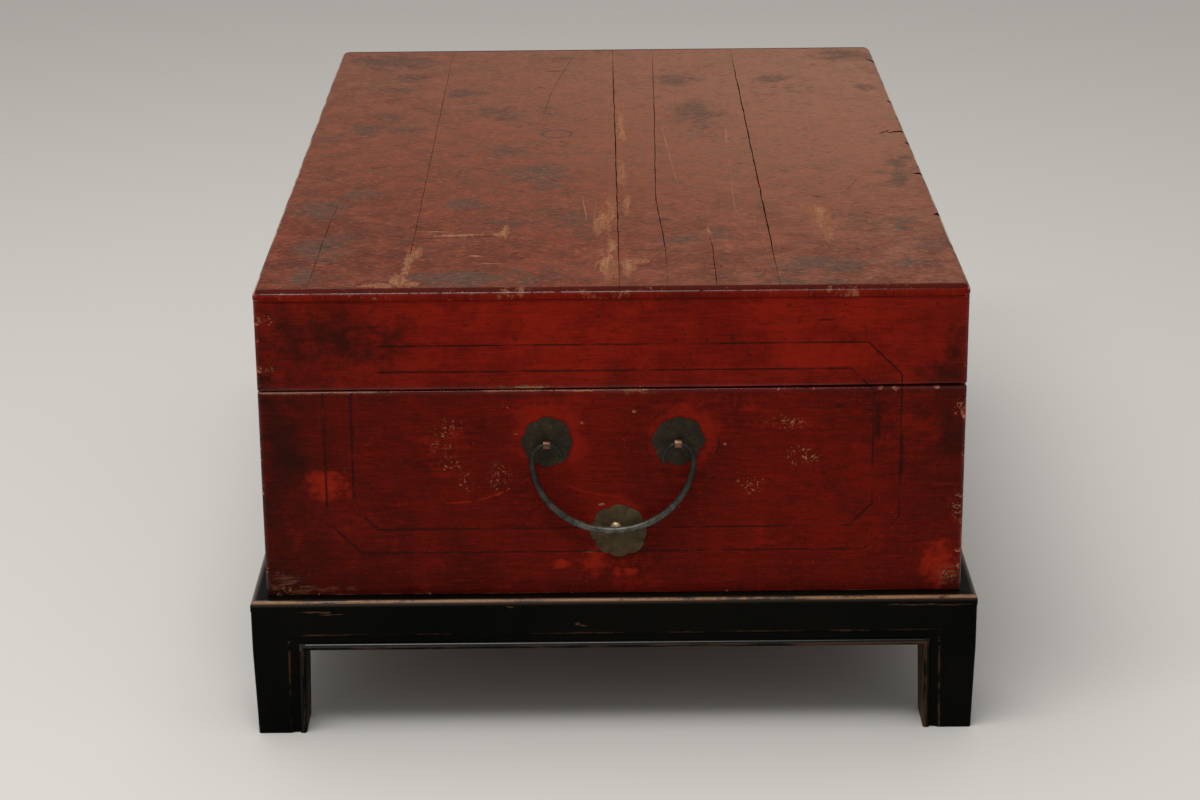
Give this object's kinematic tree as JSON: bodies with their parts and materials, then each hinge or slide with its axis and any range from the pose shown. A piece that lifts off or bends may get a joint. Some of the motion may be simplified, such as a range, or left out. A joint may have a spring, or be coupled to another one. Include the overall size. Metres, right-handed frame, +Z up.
{
  "type": "lacquered trunk on stand",
  "caption": "Red lacquered wooden trunk with a hinged lid, iron bail handles on its ends and a brass hasp, resting on a low black lacquered stand with beaded aprons and legs.",
  "frame": {"origin": "on the floor under the middle of the stand", "axes": "+Z up, +Y along the trunk away from its near end, +X towards the lock side"},
  "size_m": [0.5247, 0.8216, 0.3331],
  "materials": {
    "red_lacquer": "worn red lacquer",
    "black_lacquer": "worn black lacquer",
    "bare_wood": "bare, darkened",
    "dark_brass": "dark patina",
    "brass": "worn bright",
    "iron": "forged"
  },
  "bodies": {
    "trunk": {"base_end_back": "red_lacquer", "base_end_front": "red_lacquer", "base_side_left": "red_lacquer", "base_side_right": "red_lacquer", "bottom_board_1": "bare_wood", "bottom_board_2": "bare_wood", "bottom_board_3": "bare_wood", "bottom_board_4": "bare_wood", "front_plate_left": "dark_brass", "front_plate_right": "dark_brass", "front_post_left": "brass", "front_post_right": "brass", "front_rest_plate": "dark_brass", "front_rest_stud": "brass", "hinge_back_base_leaf": "dark_brass", "hinge_back_pin": "dark_brass", "hinge_front_base_leaf": "dark_brass", "hinge_front_pin": "dark_brass", "lock_plate_lower": "dark_brass", "lock_staple": "brass", "rear_plate_left": "dark_brass", "rear_plate_right": "dark_brass", "rear_post_left": "brass", "rear_post_right": "brass", "rear_rest_plate": "dark_brass", "rear_rest_stud": "brass"},
    "front_handle": {"front_bail": "iron"},
    "hasp": {"hasp": "dark_brass"},
    "lid": {"hasp_pin": "brass", "hasp_post_back": "brass", "hasp_post_front": "brass", "hinge_back_lid_leaf": "dark_brass", "hinge_front_lid_leaf": "dark_brass", "lid_end_back": "red_lacquer", "lid_end_front": "red_lacquer", "lid_side_left": "red_lacquer", "lid_side_right": "red_lacquer", "lid_top_board_1": "red_lacquer", "lid_top_board_2": "red_lacquer", "lid_top_board_3": "red_lacquer", "lid_top_board_4": "red_lacquer", "lock_plate_upper": "dark_brass"},
    "rear_handle": {"rear_bail": "iron"},
    "stand": {"stand_apron_back": "black_lacquer", "stand_apron_front": "black_lacquer", "stand_apron_left": "black_lacquer", "stand_apron_right": "black_lacquer", "stand_batten_back": "bare_wood", "stand_batten_front": "bare_wood", "stand_frame_back": "black_lacquer", "stand_frame_front": "black_lacquer", "stand_frame_left": "black_lacquer", "stand_frame_right": "black_lacquer", "stand_leg_back_left": "black_lacquer", "stand_leg_back_right": "black_lacquer", "stand_leg_front_left": "black_lacquer", "stand_leg_front_right": "black_lacquer"}
  },
  "joints": [
    {"name": "trunk_lift", "type": "slide", "parent": "stand", "child": "trunk", "axis": [0, 0, 1], "range_m": [0, 0.15]},
    {"name": "lid_hinge", "type": "hinge", "parent": "trunk", "child": "lid", "pos_m": [-0.2537, 0, 0.2597], "axis": [0, -1, 0], "range_deg": [0, 105]},
    {"name": "front_bail_swing", "type": "hinge", "parent": "trunk", "child": "front_handle", "pos_m": [0, -0.4076, 0.2208], "axis": [-1, 0, 0], "range_deg": [0, 175]},
    {"name": "rear_bail_swing", "type": "hinge", "parent": "trunk", "child": "rear_handle", "pos_m": [0, 0.4076, 0.2208], "axis": [1, 0, 0], "range_deg": [0, 175]},
    {"name": "hasp_swing", "type": "hinge", "parent": "lid", "child": "hasp", "pos_m": [0.256, 0, 0.2741], "axis": [0, -1, 0], "range_deg": [-9, 120]}
  ]
}
